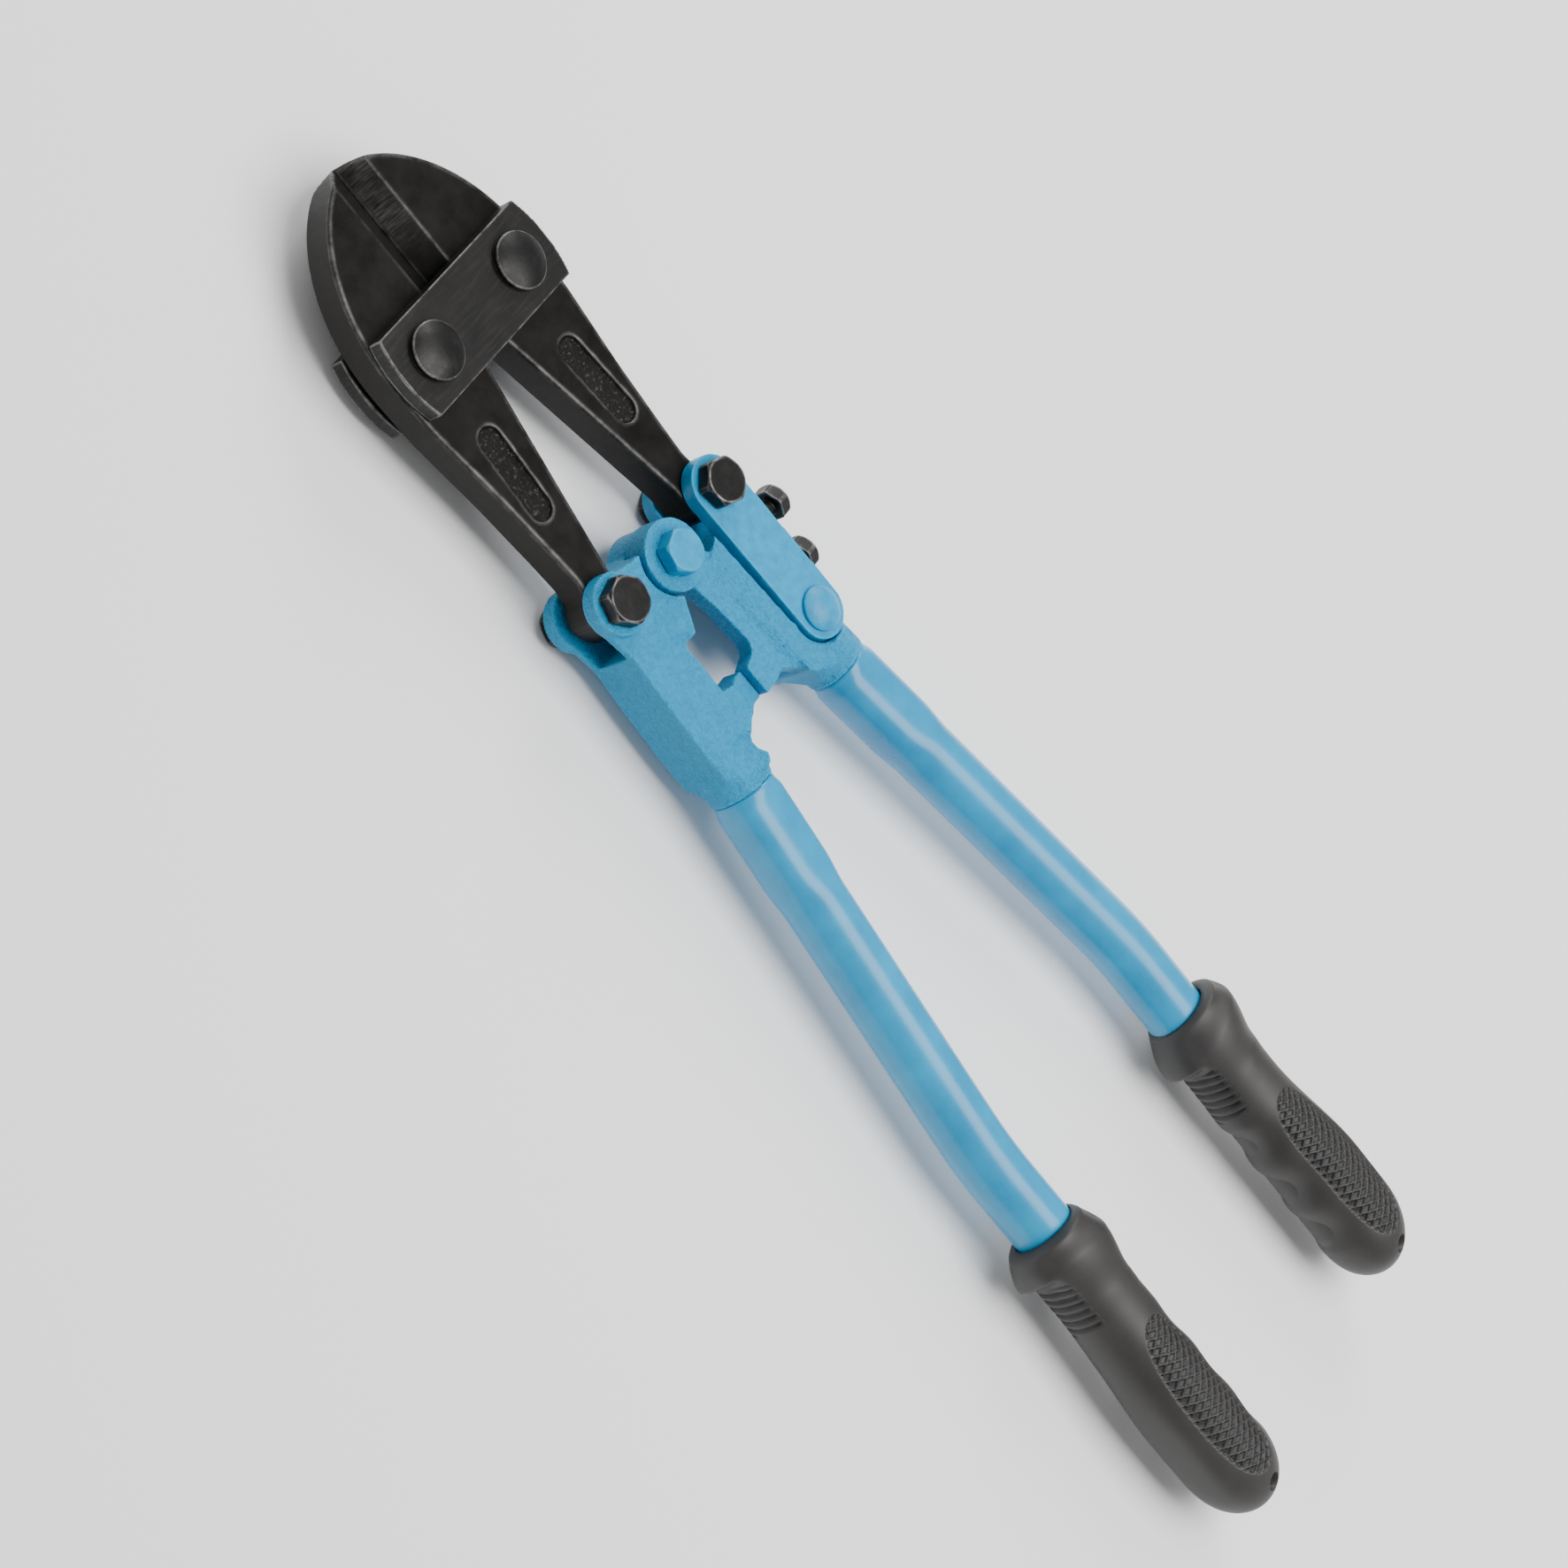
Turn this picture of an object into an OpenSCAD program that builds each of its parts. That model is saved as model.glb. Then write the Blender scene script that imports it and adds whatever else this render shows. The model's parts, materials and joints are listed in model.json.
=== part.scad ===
// Compound-action bolt cutters: two forged jaws held by a pair of strap plates,
// two cast handle heads hinged at the centre pivot, an adjusting link on the right
// head, splayed tube handles and moulded grips.
// Row frame: the tool lies flat, +Z up, +Y towards the blade tip, X across.

/* [Jaws] */
// Thickness of the forged jaws
jaw_t = 12; // [9:0.5:16]
// Distance between the two jaw pivots in the strap plates
plate_pitch = 40.8; // [36:0.2:48]
// Length of each jaw from its tail bolt to its plate pivot
tail_len = 83.1; // [70:0.5:100]
// Length of the blades beyond the plate pivots
blade_len = 50; // [40:1:60]
// Jaw width outside the plate pivot
jaw_side = 13.8; // [11:0.1:17]
// Radius of the eye at the end of each jaw, on its inner side
eye_r = 8.2; // [7:0.1:9]
// Radius of the eye on its outer side
eye_out = 6.6; // [6:0.1:9]
// Gap on each side of the blade seam
seam_gap = 0.15; // [0.1:0.05:0.5]
// Width of the ground bevel along each blade
bevel_w = 7; // [4:0.5:9]
// Half thickness left at the cutting edge
edge_half = 0.8; // [0.4:0.1:1.5]
// Width of the sunk panel in each jaw
pocket_w = 8; // [5:0.5:9]
// Length of the sunk panel in each jaw
pocket_len = 30; // [20:1:34]
// Depth of the sunk panel
pocket_d = 1.2; // [0.5:0.1:2]

/* [Strap plates] */
// Length of the strap plates
plate_len = 68.4; // [64:0.2:76]
// Width of the strap plates
plate_w = 25.3; // [22:0.1:30]
// Thickness of the strap plates
plate_t = 5.3; // [4:0.1:7]
// How far the ends of the plates bulge
plate_bulge = 2; // [1:0.1:3]
// Radius of the domed bolt heads
dome_r = 8.25; // [7.5:0.05:9]
// Height of the domed bolt heads
dome_h = 3.9; // [3:0.1:4.3]
// Height of the straight rim under the dome
dome_rim = 2; // [0.5:0.1:2.5]

/* [Handle heads] */
// Distance of each jaw bolt from the middle of the tool
bolt_x = 26.1; // [24:0.1:30]
// Distance of the jaw bolts ahead of the centre pivot
bolt_y = 3.8; // [2:0.1:6]
// Thickness of the fork ears
ear_t = 5.3; // [4:0.1:7]
// Radius of the fork ears
ear_r = 9; // [8.6:0.1:9.4]
// Half thickness of the cast heads
head_half = 9; // [8:0.1:10]
// Radius of the lobes at the centre pivot
lobe_r = 10.5; // [9:0.1:11]
// Back face of the tongue at the centre pivot, behind the middle plane
tongue_back = 7.8; // [7:0.1:9]
// Height of the handle axes above the middle plane of the jaws
handle_z = 1.4; // [0:0.1:2]
// Length of the left fork slot below the jaw bolt
slot_depth = 13.3; // [12:0.1:16]
// Distance from the centre pivot back to the ferrules
ferrule_y = 61; // [58:0.5:66]
// Distance of the ferrules from the middle of the tool
ferrule_x = 27; // [26:0.1:30]
// Length of the tang inside each tube
tang_len = 55; // [35:1:70]

/* [Adjusting link] */
// Distance from the right jaw bolt to the link rivet
link_len = 46.8; // [44:0.2:50]
// Width of the link plates
link_w = 17.5; // [16:0.1:18.4]
// Thickness of the link plates
link_t = 5; // [4:0.1:6]
// Thickness of the spacer bar between the link plates
spacer_t = 5; // [4:0.1:6]
// Radius of the adjusting screws
screw_r = 2.5; // [2:0.1:3]
// Thread length of the adjusting screws outside the spacer bar
screw_out = 9.5; // [7:0.5:14]

/* [Handles] */
// Outside radius of the tubes
tube_r = 9.5; // [8.5:0.1:10.5]
// Wall thickness of the tubes
tube_wall = 2; // [1.5:0.1:2.5]
// Splay angle of the tubes
splay = 7.8; // [5:0.1:10]
// Straight length of tube after the ferrule
tube_straight = 118; // [90:1:200]
// Bend radius where the tube turns towards the grip
tube_bend_r = 150; // [100:5:250]
// Bare tube between the bend and the grip
tube_bare = 18; // [10:1:40]

/* [Grips] */
// Length of the grips
grip_len = 112.5; // [105:0.5:130]
// Radius of the flared collar
collar_a = 15.9; // [15:0.1:17]
// Radius of the neck below the collar
neck_a = 12.3; // [12:0.1:13]
// Radius of the body of the grip
body_a = 14.6; // [13.5:0.1:15.5]
// Offset of the grip from the tube axis at its mouth, away from the other grip
grip_shift = 0.9; // [0:0.1:1.5]
// Angle by which the grip leans outwards from the tube
grip_lean = 1.3; // [0:0.1:1.6]
// Radius of the hanging hole
hang_r = 2.8; // [2:0.1:4]
// Distance of the hanging hole from the end of the grip
hang_in = 7.5; // [6:0.1:12]

/* [Bolts and fits] */
// Radius of the pivot bolts
bolt_r = 4; // [3.5:0.1:4.5]
// Width across flats of the black hexagon heads
hex_af = 13; // [12:0.1:14]
// Width across flats of the centre pivot's head and nut
centre_af = 12; // [11:0.1:13]
// Height of the hexagon heads and nuts
hex_h = 4.4; // [3.5:0.1:5]
// Running clearance between a bolt and its hole
run_gap = 0.05; // [0.02:0.01:0.1]
// Face gap between neighbouring moving pieces
face_gap = 0.3; // [0.2:0.05:0.4]
// Travel each way in the slotted hole at the right plate pivot
link_play = 3.9; // [3.9:0.05:4.4]
// Extra clearance around the bolt in that slotted hole
slot_slack = 0.45; // [0.4:0.01:0.6]

/* [Hidden] */
$fn = 64;

steel_black = "#2E2B2A";
paint_blue = "#46BEE4";
rubber_black = "#3A3836";

plate_x = plate_pitch / 2;
plate_y = bolt_y + sqrt(tail_len * tail_len - (bolt_x - plate_x) * (bolt_x - plate_x));
tip_y = plate_y + blade_len;
jaw_w = plate_x + jaw_side;
hole_r = bolt_r + run_gap;
half_jaw = jaw_t / 2;
in_face = half_jaw + face_gap;
ear_face = in_face + ear_t;
plate_face = in_face + plate_t;
link_face = in_face + link_t;
mid_z = max(ear_face, plate_face) + hex_h;

bend_dx = tube_bend_r * (1 - cos(splay));
bend_dy = tube_bend_r * sin(splay);
grip_x = ferrule_x + tube_straight * sin(splay) + bend_dx;
bend_end_y = -ferrule_y - tube_straight * cos(splay) - bend_dy;
grip_y = bend_end_y - tube_bare;
grip_end_y = grip_y - grip_len;
tube_end = hang_in + hang_r + 9;
pivot_y = -(tip_y + grip_end_y) / 2;

// Front faces of the right head: pivot lobe, inner flange and ridge
lobe_split = 1.6;
lobe_face = head_half + 1.4;
flange_face = head_half - 0.5;
flange_back = 2.4;
ridge_face = head_half + 1;
pad_face = head_half - 3.4;
pad_back = -2;
stop_x = -4;
stop_top = 37.5;
stop_low = 47;
tongue_x = 30;
rivet_r = 4;
rivet_boss_r = 8;
rivet_dx = 1.1;
rivet_x = bolt_x + rivet_dx;
rivet_y = bolt_y - sqrt(link_len * link_len - rivet_dx * rivet_dx);
screw_ys = [bolt_y - 20, bolt_y - 36.3];
screw_head_r = 4.8;
lock_r = 4.4;
spacer_x = tongue_x + 0.5;
spacer_top = bolt_y - 15;

// Smooth step from a to b
function mix(a, b, t) = a + (b - a) * (3 - 2 * t) * t * t;

// Moves what is modelled round the centre pivot into the row frame
module placed() {
    translate([0, pivot_y, mid_z]) children();
}

// Outline extruded between two heights
module slab(z0, z1) {
    translate([0, 0, z0]) linear_extrude(z1 - z0) children();
}

// Hexagon prism with a chamfered outer face, standing on z = 0
module hex_head(af, h) {
    intersection() {
        cylinder(r = af / sqrt(3), h = h, $fn = 6);
        cylinder(r1 = af / 2 + h, r2 = af / 2 * 0.98, h = h + 0.001);
        translate([0, 0, -1]) cylinder(r = af / 2 * 1.11, h = h + 2);
    }
}

module hex_nut(af, h, r) {
    difference() {
        hex_head(af, h);
        translate([0, 0, -1]) cylinder(r = r, h = h + 2);
    }
}

module hole(x, y, r) {
    translate([x, y, -40]) cylinder(r = r, h = 80);
}

// Right jaw outline, anticlockwise: nose, blade edge, throat, inner side, eye, outer side
function nose(u) = [jaw_w * pow(1 - pow(u, 2.2), 0.625), plate_y - 1 + (blade_len + 1) * u];
function eye(a) = (a < 270 ? eye_r : mix(eye_r, eye_out, min(1, (a - 270) / 60)));

jaw_pts = concat(
    [for (i = [0:23]) nose(1 - pow(1 - i / 23.4, 1.5))],
    [[seam_gap, tip_y], [seam_gap, plate_y + 10], [1.6, plate_y], [2.9, plate_y - 7],
     [5.2, plate_y - 14.6], [bolt_x - eye_r - 0.3, bolt_y + 6]],
    [for (a = [180:15:420]) [bolt_x + eye(a) * cos(a), bolt_y + eye(a) * sin(a)]],
    [[bolt_x + 2.4, bolt_y + 11], [bolt_x + 3.1, bolt_y + 22], [bolt_x + 4.7, bolt_y + 42],
     [jaw_w - 0.5, plate_y - 16]]
);

module pocket_cut() {
    y0 = (plate_y + bolt_y) / 2 + 2;
    x0 = (bolt_x - eye_r + bolt_x + 3.1) / 2 - 2.4;
    half = (pocket_len - pocket_w) / 2;
    for (side = [-1, 1])
        translate([x0, y0, side * (half_jaw + pocket_d)]) rotate(4) {
            for (end = [-1, 1])
                translate([0, end * half, -2 * pocket_d]) cylinder(r = pocket_w / 2, h = 4 * pocket_d);
            translate([-pocket_w / 2, -half, -2 * pocket_d]) cube([pocket_w, 2 * half, 4 * pocket_d]);
        }
}

// Wedge ground off the front and back of the blade
module bevel_cut() {
    for (side = [0, 1])
        mirror([0, 0, side])
            translate([0, plate_y + 5, 0]) rotate([90, 0, 0]) mirror([0, 0, 1])
                linear_extrude(blade_len + 10)
                    polygon([[-1, edge_half], [seam_gap, edge_half], [bevel_w, half_jaw],
                             [bevel_w, half_jaw + 1], [-1, half_jaw + 1]]);
}

module jaw_blank() {
    difference() {
        slab(-half_jaw, half_jaw) polygon(jaw_pts);
        bevel_cut();
        pocket_cut();
        hole(bolt_x, bolt_y, hole_r);
    }
}

module left_jaw() {
    color(steel_black) placed() mirror([1, 0, 0])
        difference() {
            jaw_blank();
            hole(plate_x, plate_y, hole_r);
        }
}

module right_jaw() {
    slot_r = bolt_r + slot_slack;
    color(steel_black) placed()
        difference() {
            jaw_blank();
            for (end = [-1, 1]) hole(plate_x + end * link_play, plate_y, slot_r);
            translate([plate_x - link_play, plate_y - slot_r, -20])
                cube([2 * link_play, 2 * slot_r, 40]);
        }
}

module strap_plate() {
    arc_r = (plate_w * plate_w / 4 + plate_bulge * plate_bulge) / (2 * plate_bulge);
    off = plate_len / 2 - arc_r;
    difference() {
        slab(in_face, plate_face) translate([0, plate_y])
            intersection() {
                square([plate_len + 2, plate_w], center = true);
                translate([off, 0]) circle(r = arc_r, $fn = 256);
                translate([-off, 0]) circle(r = arc_r, $fn = 256);
            }
        for (side = [-1, 1]) hole(side * plate_x, plate_y, hole_r);
    }
}

module front_plate() {
    color(steel_black) placed() strap_plate();
}

module back_plate() {
    color(steel_black) placed() mirror([0, 0, 1]) strap_plate();
}

// Head of radius r and height h: straight rim, then a spherical cap
module dome(r, h, rim) {
    cap = h - rim;
    ball = (r * r + cap * cap) / (2 * cap);
    cylinder(r = r, h = rim);
    translate([0, 0, rim]) intersection() {
        translate([0, 0, cap - ball]) sphere(r = ball);
        translate([0, 0, -0.1]) cylinder(r = r, h = cap + 1);
    }
}

module plate_bolts() {
    color(steel_black) placed()
        for (side = [-1, 1])
            translate([side * plate_x, plate_y, 0]) {
                translate([0, 0, plate_face]) dome(dome_r, dome_h, dome_rim);
                translate([0, 0, -plate_face - hex_h]) cylinder(r = bolt_r, h = 2 * plate_face + hex_h);
            }
}

module plate_nuts() {
    color(steel_black) placed()
        for (side = [-1, 1])
            translate([side * plate_x, plate_y, -plate_face]) rotate([180, 0, 0])
                hex_nut(hex_af, hex_h, hole_r);
}

module ring(r_in, r_out) {
    difference() {
        circle(r = r_out);
        circle(r = r_in);
    }
}

// Tube from the ferrule to its end inside the grip, turned round the centre of its bend
module tube_body() {
    r_in = tube_r - tube_wall;
    translate([grip_x - tube_bend_r, bend_end_y, handle_z]) {
        rotate_extrude(angle = splay) translate([tube_bend_r, 0]) ring(r_in, tube_r);
        rotate(splay) translate([tube_bend_r, 0, 0]) rotate([-90, 0, 0]) {
            linear_extrude(tube_straight) ring(r_in, tube_r);
            // fine bead where the splayed run meets the bend
            translate([0, 0, -0.6]) linear_extrude(1.2) ring(r_in + 0.1, tube_r + 0.05);
        }
        translate([tube_bend_r, 0, 0]) rotate([90, 0, 0])
            linear_extrude(tube_bare + grip_len - tube_end) ring(r_in, tube_r);
    }
}

module left_tube() {
    color(paint_blue) placed() mirror([1, 0, 0]) tube_body();
}

module right_tube() {
    color(paint_blue) placed() tube_body();
}

// Grip radius at distance s below its mouth
function grip_a(s) =
    s < 9 ? mix(tube_r + 1.6, collar_a, s / 9) :
    s < 15 ? collar_a - 0.3 * (s - 9) / 6 :
    s < 24 ? mix(collar_a - 0.3, neck_a + 0.2, (s - 15) / 9) :
    s < 32 ? mix(neck_a + 0.2, neck_a, (s - 24) / 8) :
    s < 70 ? mix(neck_a, body_a, (s - 32) / 38) :
    s < grip_len - 24 ? body_a :
    body_a * sqrt(1 - pow((s - grip_len + 24) / 24, 2.4));

// Revolved skin of the grip: mouth, collar, neck, body and rounded end
module grip_skin() {
    stops = concat([0, 1.5, 3, 5, 7, 9, 15, 17, 19, 21, 24, 32], [for (i = [1:4]) 32 + i * 9.5],
                   [grip_len - 24], [for (a = [12:12:84]) grip_len - 24 + 24 * sin(a)]);
    rotate([90, 0, grip_lean]) rotate_extrude()
        polygon(concat([[0, 0]], [for (s = stops) [grip_a(s), s]], [[0, grip_len]]));
}

module grip_body() {
    hang_x = grip_x + grip_shift + (grip_len - hang_in) * sin(grip_lean);
    difference() {
        translate([grip_x + grip_shift, grip_y, handle_z + 0.6]) grip_skin();
        translate([grip_x, grip_y + 1, handle_z]) rotate([90, 0, 0])
            cylinder(r = tube_r + run_gap, h = grip_len - tube_end + 1);
        hole(hang_x, grip_end_y + hang_in, hang_r);
    }
}

module left_grip() {
    color(rubber_black) placed() mirror([1, 0, 0]) grip_body();
}

module right_grip() {
    color(rubber_black) placed() grip_body();
}

// Round ferrule and tang on a handle head, drawn on the right side
module ferrule_and_tang() {
    translate([ferrule_x, -ferrule_y, handle_z]) rotate([90, 0, splay]) {
        translate([0, 0, -9]) cylinder(r = tube_r + 0.4, h = 9);
        translate([0, 0, -1]) cylinder(r = tube_r - tube_wall - run_gap, h = tang_len + 1);
    }
}

// Left head, drawn where it lies, on the negative X side
module left_head_outline() {
    polygon([
        [-bolt_x - ear_r + 0.3, bolt_y], [-bolt_x - 6.4, bolt_y - 14], [-bolt_x - 7.6, bolt_y - 28],
        [-ferrule_x - 7.8, -ferrule_y + 16], [-ferrule_x - 7.6, -ferrule_y + 8],
        [-ferrule_x + 8.5, -ferrule_y + 1], [-ferrule_x + 10.1, -ferrule_y + 3.5],
        [-18.4, -53.9], [-17.7, -50.6], [-14.3, -47.8], [-12, -stop_low],
        [-12, -stop_top + 0.5], [-16, -stop_top + 1.5], [-15.8, -29], [-14.4, -19.6], [-10.2, -19.4],
        [-6.4, -12.3], [-4, -8.5], [-6, 7.4], [-12, 7.8], [-bolt_x + 5, bolt_y + ear_r - 2.4],
        [-bolt_x, bolt_y + ear_r - 1]
    ]);
}

module left_head_solid() {
    slab(-head_half, head_half) left_head_outline();
    translate([-bolt_x, bolt_y, -ear_face]) cylinder(r = ear_r, h = 2 * ear_face);
    slab(-tongue_back, lobe_split - face_gap) circle(r = lobe_r - 0.6);
    // stop pad, ramping down from the face of the head
    hull() {
        translate([-13, -stop_low, pad_back]) cube([0.5, stop_low - stop_top, head_half - pad_back]);
        translate([-8, -stop_low, pad_back]) cube([0.5, stop_low - stop_top, pad_face - pad_back]);
    }
    translate([-8, -stop_low, pad_back])
        cube([8 + stop_x - face_gap, stop_low - stop_top, pad_face - pad_back]);
    // shoulder that blends the flat head into the round ferrule
    hull() {
        translate([-ferrule_x - 7.4, -ferrule_y + 11, -head_half]) cube([15, 4, 2 * head_half]);
        mirror([1, 0, 0]) translate([ferrule_x, -ferrule_y, handle_z]) rotate([90, 0, splay])
            translate([0, 0, -3]) cylinder(r = tube_r - 0.2, h = 1, $fn = 32);
    }
    mirror([1, 0, 0]) ferrule_and_tang();
}

// Shallow round scoop of the given depth in the front face
module scoop(x, y, depth) {
    translate([x, y, head_half + 12 - depth]) sphere(r = 12);
}

module left_handle_head() {
    color(paint_blue) placed()
        difference() {
            left_head_solid();
            // slot for the jaw tail, open to the outer side and the front
            translate([-bolt_x - 20, bolt_y - slot_depth, -in_face])
                cube([20 + eye_r + 0.9, slot_depth + 30, 2 * in_face]);
            // seat for the front lobe of the right head
            translate([0, 0, lobe_split - face_gap]) cylinder(r = lobe_r + 2 * face_gap, h = 20);
            // thinner tongue behind the centre pivot
            translate([0, 0, -tongue_back - 20]) cylinder(r = lobe_r + 1.5, h = 20);
            scoop(-17.5, -21, 1.8);
            scoop(-22.5, -53.5, 2);
            hole(-bolt_x, bolt_y, hole_r);
            hole(0, 0, hole_r);
        }
}

module left_jaw_bolt() {
    color(steel_black) placed() translate([-bolt_x, bolt_y, 0]) {
        translate([0, 0, ear_face]) rotate(12) hex_head(hex_af, hex_h + 0.6);
        translate([0, 0, -ear_face - hex_h]) cylinder(r = bolt_r, h = 2 * ear_face + hex_h);
    }
}

module left_jaw_nut() {
    color(steel_black) placed() translate([-bolt_x, bolt_y, -ear_face]) rotate([180, 0, 7])
        hex_nut(hex_af, hex_h, hole_r);
}

module centre_bolt() {
    color(paint_blue) placed() {
        translate([0, 0, lobe_face + face_gap]) rotate(17) hex_head(centre_af, hex_h + 0.6);
        translate([0, 0, -tongue_back - hex_h])
            cylinder(r = bolt_r, h = tongue_back + lobe_face + hex_h + 1);
    }
}

module centre_nut() {
    color(paint_blue) placed() translate([0, 0, -tongue_back]) rotate([180, 0, 25])
        hex_nut(centre_af, hex_h, hole_r);
}

// Right head: body with its ridge, thin tongue inside the link, flange and stop pad
module right_head_solid() {
    slab(lobe_split, lobe_face) circle(r = lobe_r);
    // inner flange from the lobe down to the stop pad
    slab(flange_back, flange_face)
        polygon([[-1.2, -8], [1.2, -21.4], [2.4, -33], [0.9, -stop_top + 1.6], [stop_x, -stop_top],
                 [stop_x, -stop_low], [1.5, -stop_low], [5.5, -stop_low + 1], [12, -stop_low - 4],
                 [14, -12], [9, -4]]);
    slab(pad_back, flange_face)
        polygon([[stop_x, -stop_top - 2], [stop_x, -stop_low], [5.5, -stop_low + 1], [13, -stop_low - 3],
                 [13, -stop_top - 2]]);
    // body and ridge
    slab(-head_half, ridge_face)
        polygon([[14.2, -6.5], [15.4, -5.2], [17.6, -39], [20.5, -44], [rivet_x, -53.4],
                 [rivet_x + 3, -54.6], [14.2, -stop_low - 8], [11.4, -stop_low - 5],
                 [11.4, -stop_low]]);
    slab(-head_half, flange_back + 1) polygon([[11.5, -10.5], [15, -8], [15, -52], [11.8, -49]]);
    // sloped channel wall between flange and ridge
    hull() {
        slab(flange_back, flange_face) polygon([[6.4, -10.8], [7.4, -11], [9.4, -48], [8.6, -48]]);
        slab(flange_back, ridge_face) polygon([[14.2, -6.6], [15, -6.6], [12.2, -48], [11.4, -48]]);
    }
    // tongue between the link plates
    slab(-half_jaw, half_jaw)
        polygon([[14, -9], [tongue_x, -9], [tongue_x, rivet_y], [rivet_x, -55], [14, -50]]);
    translate([rivet_x, rivet_y, -half_jaw]) cylinder(r = rivet_boss_r, h = jaw_t);
    hull() {
        slab(-head_half, ridge_face)
            polygon([[12.4, -stop_low - 4], [rivet_x + 5, -54], [rivet_x + 5, -54.6],
                     [12.6, -stop_low - 5]]);
        translate([ferrule_x, -ferrule_y, handle_z]) rotate([90, 0, splay])
            translate([0, 0, -2.5]) cylinder(r = tube_r - 0.2, h = 1, $fn = 32);
    }
    ferrule_and_tang();
}

// Room for the two link plates and their swing, in front of and behind the tongue
module link_room() {
    for (side = [0, 1])
        mirror([0, 0, side]) {
            translate([0, 0, half_jaw]) {
                translate([rivet_x, rivet_y, 0]) cylinder(r = link_w / 2 + 0.6, h = 20);
                translate([rivet_x, rivet_y, 0]) rotate(atan(rivet_dx / link_len))
                    translate([-link_w / 2 - 0.35, 0, 0]) cube([link_w + 20, link_len + 12, 20]);
            }
        }
}

module right_handle_head() {
    color(paint_blue) placed()
        difference() {
            right_head_solid();
            link_room();
            // clears the left head's lobe behind the split
            translate([0, 0, -20]) cylinder(r = lobe_r + 2 * face_gap, h = 20 + lobe_split);
            hole(0, 0, hole_r);
            hole(rivet_x, rivet_y, rivet_r + run_gap);
        }
}

module link_plate() {
    difference() {
        // bar with two round ends, turned along the line from rivet to bolt
        translate([rivet_x, rivet_y, 0]) rotate(asin(rivet_dx / link_len)) slab(in_face, link_face)
            polygon(concat(
                [for (a = [0:7.5:180]) [link_w / 2 * cos(a), link_len + link_w / 2 * sin(a)]],
                [for (a = [180:7.5:360]) [link_w / 2 * cos(a), link_w / 2 * sin(a)]]
            ));
        hole(bolt_x, bolt_y, hole_r);
        hole(rivet_x, rivet_y, rivet_r + run_gap);
    }
}

module link_plate_front() {
    color(paint_blue) placed() link_plate();
}

module link_plate_back() {
    color(paint_blue) placed() mirror([0, 0, 1]) link_plate();
}

module link_spacer() {
    color(paint_blue) placed()
        difference() {
            translate([spacer_x, rivet_y + 4, -in_face])
                cube([spacer_t, spacer_top - rivet_y - 4, 2 * in_face]);
            translate([rivet_x, rivet_y, -20]) cylinder(r = rivet_boss_r + 2 * face_gap, h = 40);
            for (y = screw_ys)
                translate([0, y, 0]) rotate([0, 90, 0]) cylinder(r = screw_r + run_gap, h = 60);
        }
}

module link_rivet() {
    color(paint_blue) placed() translate([rivet_x, rivet_y, 0]) {
        cylinder(r = rivet_r, h = 2 * link_face, center = true);
        for (side = [0, 1])
            mirror([0, 0, side]) translate([0, 0, link_face]) dome(rivet_r + 2.6, 3.4, 1);
    }
}

module right_jaw_bolt() {
    color(steel_black) placed() translate([bolt_x, bolt_y, 0]) {
        translate([0, 0, link_face]) rotate(40) hex_head(hex_af, hex_h + 0.6);
        translate([0, 0, -link_face - hex_h]) cylinder(r = bolt_r, h = 2 * link_face + hex_h);
    }
}

module right_jaw_nut() {
    color(steel_black) placed() translate([bolt_x, bolt_y, -link_face]) rotate([180, 0, 20])
        hex_nut(hex_af, hex_h, hole_r);
}

// Screw along +X with a round head, at height y along the tool
module adjusting_screw(y, out) {
    tip = tongue_x + face_gap;
    head = spacer_x + spacer_t + out;
    translate([0, y, 0]) rotate([0, 90, 0]) {
        translate([0, 0, tip]) cylinder(r = screw_r, h = head - tip);
        translate([0, 0, head]) hex_head(2 * screw_head_r, 4.4);
    }
}

module front_adjusting_screw() {
    color(steel_black) placed() adjusting_screw(screw_ys[0], screw_out);
}

module rear_adjusting_screw() {
    color(steel_black) placed() adjusting_screw(screw_ys[1], screw_out - 3.5);
}

module screw_lock_nuts() {
    color(steel_black) placed()
        for (y = screw_ys)
            translate([spacer_x + spacer_t, y, 0]) rotate([0, 90, 0])
                hex_nut(2 * lock_r, 3.2, screw_r + run_gap);
}

left_jaw();
right_jaw();
front_plate();
back_plate();
plate_bolts();
plate_nuts();
left_handle_head();
left_jaw_bolt();
left_jaw_nut();
centre_bolt();
centre_nut();
left_tube();
left_grip();
right_handle_head();
link_plate_front();
link_plate_back();
link_spacer();
link_rivet();
right_jaw_bolt();
right_jaw_nut();
front_adjusting_screw();
rear_adjusting_screw();
screw_lock_nuts();
right_tube();
right_grip();
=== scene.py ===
# %% [markdown]
# # Bolt cutters
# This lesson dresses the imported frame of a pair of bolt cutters: two black forged jaws,
# two strap plates, blue cast handle heads with an adjusting link, blue tube handles and
# moulded rubber grips. The frame already holds every size and every joint, so each cell
# below only works out a better surface or a better finish for a piece that is there.

# %% Load the frame
import json
import math

import bmesh
import bpy
import numpy as np
from mathutils import Matrix, Vector


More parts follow.
